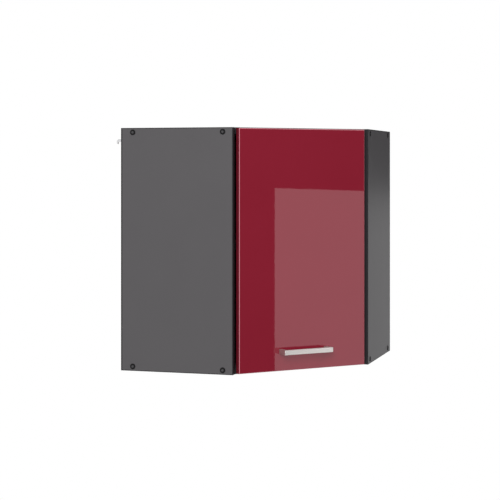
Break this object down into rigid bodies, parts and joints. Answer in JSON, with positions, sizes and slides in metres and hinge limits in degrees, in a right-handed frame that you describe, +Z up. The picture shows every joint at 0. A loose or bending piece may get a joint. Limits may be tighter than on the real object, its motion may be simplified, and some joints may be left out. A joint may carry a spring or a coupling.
{
  "type": "diagonal corner wall cabinet",
  "caption": "Wall-hung diagonal corner kitchen cabinet: dark board carcass with shelf, gloss red door on concealed cup hinges, bar handle and adjustable wall hangers.",
  "frame": {"origin": "the room's corner at the height of the cabinet's underside, where both wall planes meet", "axes": "+Y points into the wall behind the left back panel, +X into the wall behind the right back panel, +Z up"},
  "size_m": [0.5873, 0.5873, 0.6],
  "materials": {
    "carcass_board": "anthracite melamine, fine matt grain",
    "edge_band": "dark plastic edging",
    "back_board": "dark lacquered fibreboard",
    "door_gloss": "high-gloss burgundy foil",
    "handle_metal": "satin",
    "hardware_steel": "nickel plated",
    "cap_plastic": "moulded",
    "dowel_wood": "raw beech",
    "bumper_rubber": "clear silicone",
    "hanger_plastic": "moulded"
  },
  "bodies": {
    "carcass": {"left_side_panel": "carcass_board", "right_side_panel": "carcass_board", "top_panel": "carcass_board", "bottom_panel": "carcass_board", "shelf": "carcass_board", "left_back_panel": "back_board", "right_back_panel": "back_board", "corner_post": "carcass_board", "left_side_edge_bands": "edge_band", "right_side_edge_bands": "edge_band", "top_edge_band": "edge_band", "bottom_edge_band": "edge_band", "shelf_edge_band": "edge_band", "connecting_screws": "hardware_steel", "screw_cover_caps": "cap_plastic", "wood_dowels": "dowel_wood", "shelf_pins": "hardware_steel", "back_nails": "hardware_steel", "left_hanger_housing": "hanger_plastic", "right_hanger_housing": "hanger_plastic", "hanger_fixing_screws": "hardware_steel", "hinge_plate_screws": "hardware_steel", "hinge_arm_screws": "hardware_steel", "hinge_arm_pins": "hardware_steel", "upper_hinge_plate": "hardware_steel", "upper_hinge_arm": "hardware_steel", "lower_hinge_plate": "hardware_steel", "lower_hinge_arm": "hardware_steel"},
    "door": {"door_panel": "door_gloss", "door_handle": "handle_metal", "handle_screws": "hardware_steel", "door_bumpers": "bumper_rubber", "hinge_cup_screws": "hardware_steel", "hinge_cup_pins": "hardware_steel", "upper_hinge_cup": "hardware_steel", "lower_hinge_cup": "hardware_steel"},
    "outer_links": {"upper_hinge_outer_link": "hardware_steel", "lower_hinge_outer_link": "hardware_steel"},
    "inner_links": {"upper_hinge_inner_link": "hardware_steel", "lower_hinge_inner_link": "hardware_steel"},
    "left_carriage": {"left_hanger_carriage": "hardware_steel"},
    "left_hook": {"left_hanger_hook": "hardware_steel"},
    "left_depth_screw": {"left_hanger_depth_screw": "hardware_steel"},
    "left_height_screw": {"left_hanger_height_screw": "hardware_steel"},
    "right_carriage": {"right_hanger_carriage": "hardware_steel"},
    "right_hook": {"right_hanger_hook": "hardware_steel"},
    "right_depth_screw": {"right_hanger_depth_screw": "hardware_steel"},
    "right_height_screw": {"right_hanger_height_screw": "hardware_steel"}
  },
  "joints": [
    {"name": "outer_link_turn", "type": "hinge", "parent": "carcass", "child": "outer_links", "pos_m": [-0.30356, -0.50412, 0], "axis": [0, 0, 1], "range_deg": [-26.31, 0]},
    {"name": "door_swing", "type": "hinge", "parent": "outer_links", "child": "door", "pos_m": [-0.3016, -0.54207, 0], "axis": [0, 0, 1], "range_deg": [0, 121.21]},
    {"name": "inner_link_turn", "type": "hinge", "parent": "carcass", "child": "inner_links", "pos_m": [-0.30768, -0.52891, 0], "axis": [0, 0, 1], "range_deg": [-55.12, 0]},
    {"name": "left_depth_screw_turn", "type": "hinge", "parent": "carcass", "child": "left_depth_screw", "pos_m": [-0.5405, -0.058, 0.5747], "axis": [0, 1, 0], "range_deg": [-721, 1441]},
    {"name": "left_carriage_slide", "type": "slide", "parent": "carcass", "child": "left_carriage", "axis": [0, 1, 0], "range_m": [-0.008, 0.004]},
    {"name": "left_height_screw_turn", "type": "hinge", "parent": "left_carriage", "child": "left_height_screw", "pos_m": [-0.5405, -0.031, 0.5363], "axis": [0, 0, 1], "range_deg": [-901, 901]},
    {"name": "left_hook_slide", "type": "slide", "parent": "left_carriage", "child": "left_hook", "axis": [0, 0, 1], "range_m": [-0.005, 0.005]},
    {"name": "right_depth_screw_turn", "type": "hinge", "parent": "carcass", "child": "right_depth_screw", "pos_m": [-0.058, -0.5405, 0.5747], "axis": [1, 0, 0], "range_deg": [-721, 1441]},
    {"name": "right_carriage_slide", "type": "slide", "parent": "carcass", "child": "right_carriage", "axis": [1, 0, 0], "range_m": [-0.008, 0.004]},
    {"name": "right_height_screw_turn", "type": "hinge", "parent": "right_carriage", "child": "right_height_screw", "pos_m": [-0.031, -0.5405, 0.5363], "axis": [0, 0, 1], "range_deg": [-901, 901]},
    {"name": "right_hook_slide", "type": "slide", "parent": "right_carriage", "child": "right_hook", "axis": [0, 0, 1], "range_m": [-0.005, 0.005]}
  ],
  "couplings": [
    {"joint": "outer_link_turn", "follows": "door_swing", "ratio": -0.21624},
    {"joint": "inner_link_turn", "follows": "door_swing", "ratio": -0.45395},
    {"joint": "left_depth_screw_turn", "follows": "left_carriage_slide", "rad_per_m": -3141.6},
    {"joint": "left_height_screw_turn", "follows": "left_hook_slide", "rad_per_m": -3141.6},
    {"joint": "right_depth_screw_turn", "follows": "right_carriage_slide", "rad_per_m": -3141.6},
    {"joint": "right_height_screw_turn", "follows": "right_hook_slide", "rad_per_m": -3141.6}
  ]
}
